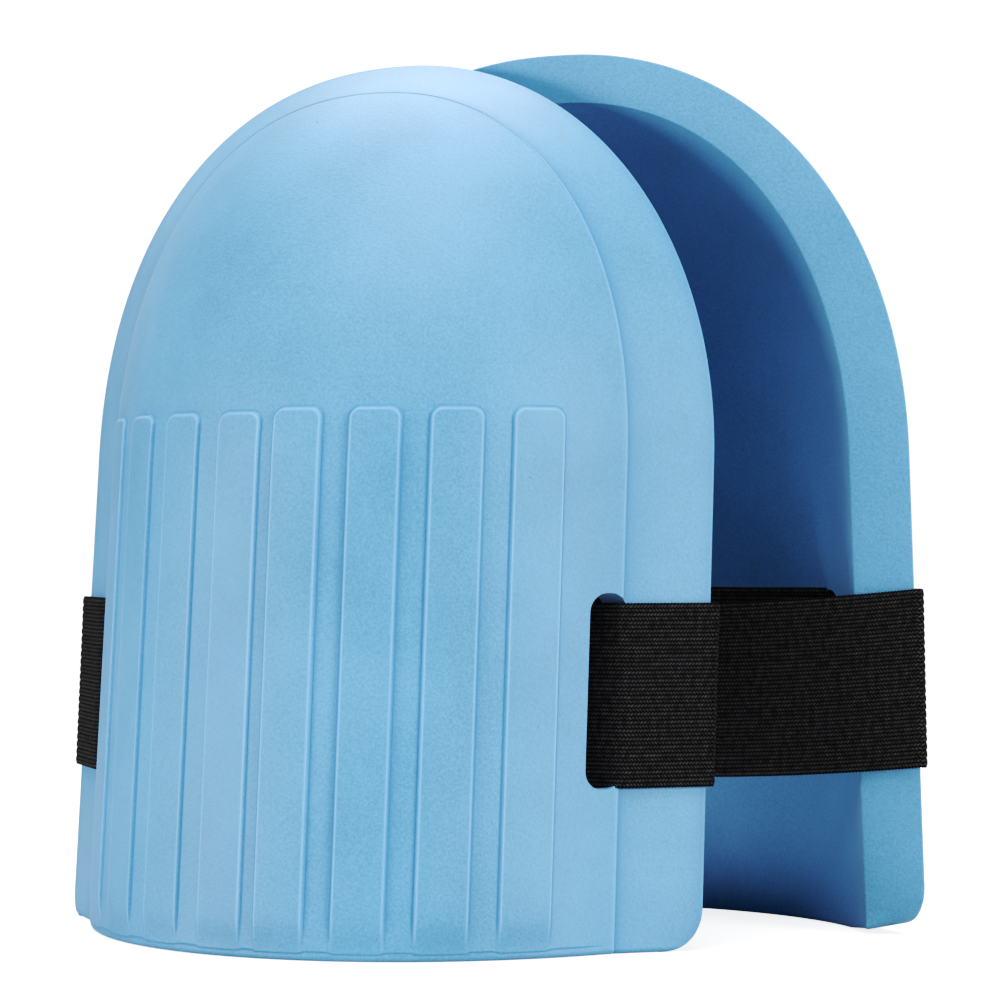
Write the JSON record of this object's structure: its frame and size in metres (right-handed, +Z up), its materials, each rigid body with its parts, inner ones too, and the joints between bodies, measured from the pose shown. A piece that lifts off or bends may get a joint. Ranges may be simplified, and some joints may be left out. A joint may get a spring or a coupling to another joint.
{
  "type": "pair of strap-on foam knee pads",
  "caption": "Pair of moulded foam strap-on knee pads with ribbed domed fronts, hollow backs and a wide elastic strap with a hook-and-loop closure",
  "frame": {"origin": "on the floor under the middle of the pair's bounding box", "axes": "+Z up along the pads' height, +X across the front pad's width, +Y from the front pad's dome towards the back pad"},
  "size_m": [0.2036, 0.1558, 0.2025],
  "materials": {
    "foam": "matte closed-cell moulded foam, light blue, fine grain with sparse tiny pits",
    "elastic": "matte knitted elastic, black",
    "hook_tape": "stiff nylon hook tape, black",
    "loop_tape": "soft brushed nylon loop tape, black",
    "thread": "polyester sewing thread, black"
  },
  "bodies": {
    "front_pad": {"front_foam_shell": "foam", "front_strap_main_run": "elastic"},
    "front_hook_flap": {"front_strap_hook_end": "elastic", "front_hook_patch": "hook_tape", "front_hook_stitching": "thread"},
    "front_loop_flap": {"front_strap_loop_end": "elastic", "front_loop_patch": "loop_tape", "front_loop_stitching": "thread"},
    "back_pad": {"back_foam_shell": "foam", "back_strap_main_run": "elastic"},
    "back_hook_flap": {"back_strap_hook_end": "elastic", "back_hook_patch": "hook_tape", "back_hook_stitching": "thread"},
    "back_loop_flap": {"back_strap_loop_end": "elastic", "back_loop_patch": "loop_tape", "back_loop_stitching": "thread"}
  },
  "joints": [
    {"name": "pads_apart", "type": "slide", "parent": "front_pad", "child": "back_pad", "axis": [0, 1, 0], "range_m": [0, 0.45]},
    {"name": "front_hook_fold", "type": "hinge", "parent": "front_pad", "child": "front_hook_flap", "pos_m": [-0.10039, -0.01398, 0.0563], "axis": [0, 0.0778, 0.997], "range_deg": [0, 135]},
    {"name": "front_loop_fold", "type": "hinge", "parent": "front_pad", "child": "front_loop_flap", "pos_m": [0.06429, -0.01398, 0.0563], "axis": [0, 0.0778, 0.997], "range_deg": [-57, 0]},
    {"name": "back_hook_fold", "type": "hinge", "parent": "back_pad", "child": "back_hook_flap", "pos_m": [-0.06367, 0.00735, 0.0563], "axis": [0.0062, -0.0775, 0.997], "range_deg": [-135, 0]},
    {"name": "back_loop_fold", "type": "hinge", "parent": "back_pad", "child": "back_loop_flap", "pos_m": [0.10048, 0.02056, 0.0563], "axis": [0.0062, -0.0775, 0.997], "range_deg": [0, 57]}
  ],
  "couplings": [
    {"joint": "front_hook_fold", "follows": "pads_apart", "rad_per_m": 5.2},
    {"joint": "front_loop_fold", "follows": "pads_apart", "rad_per_m": -2.2},
    {"joint": "back_hook_fold", "follows": "pads_apart", "rad_per_m": -5.2},
    {"joint": "back_loop_fold", "follows": "pads_apart", "rad_per_m": 2.2}
  ]
}
